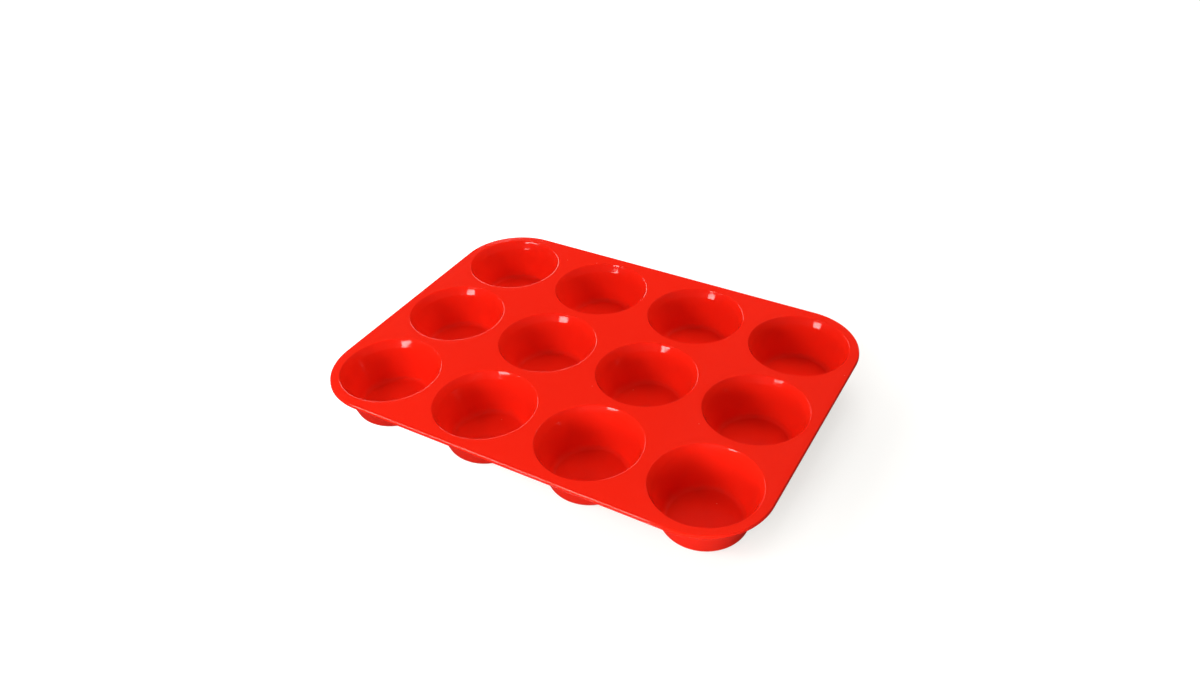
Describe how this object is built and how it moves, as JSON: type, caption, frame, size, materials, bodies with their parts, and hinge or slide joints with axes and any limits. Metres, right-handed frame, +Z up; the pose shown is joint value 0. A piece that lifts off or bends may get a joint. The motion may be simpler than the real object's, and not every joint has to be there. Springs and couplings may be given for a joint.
{
  "type": "muffin pan",
  "caption": "Flexible moulded muffin pan: a flat rectangular deck with rounded corners and a thicker rounded edge, and a grid of tapered round cups with flat floors.",
  "frame": {"origin": "on the surface that the pan stands on, under the middle of the deck", "axes": "+Z up, out of the cups' mouths; +X along the pan's length; +Y across it"},
  "size_m": [0.33, 0.245, 0.0315],
  "materials": {
    "silicone": "satin bright red silicone"
  },
  "bodies": {
    "root": {"muffin_pan": "silicone"}
  },
  "joints": []
}
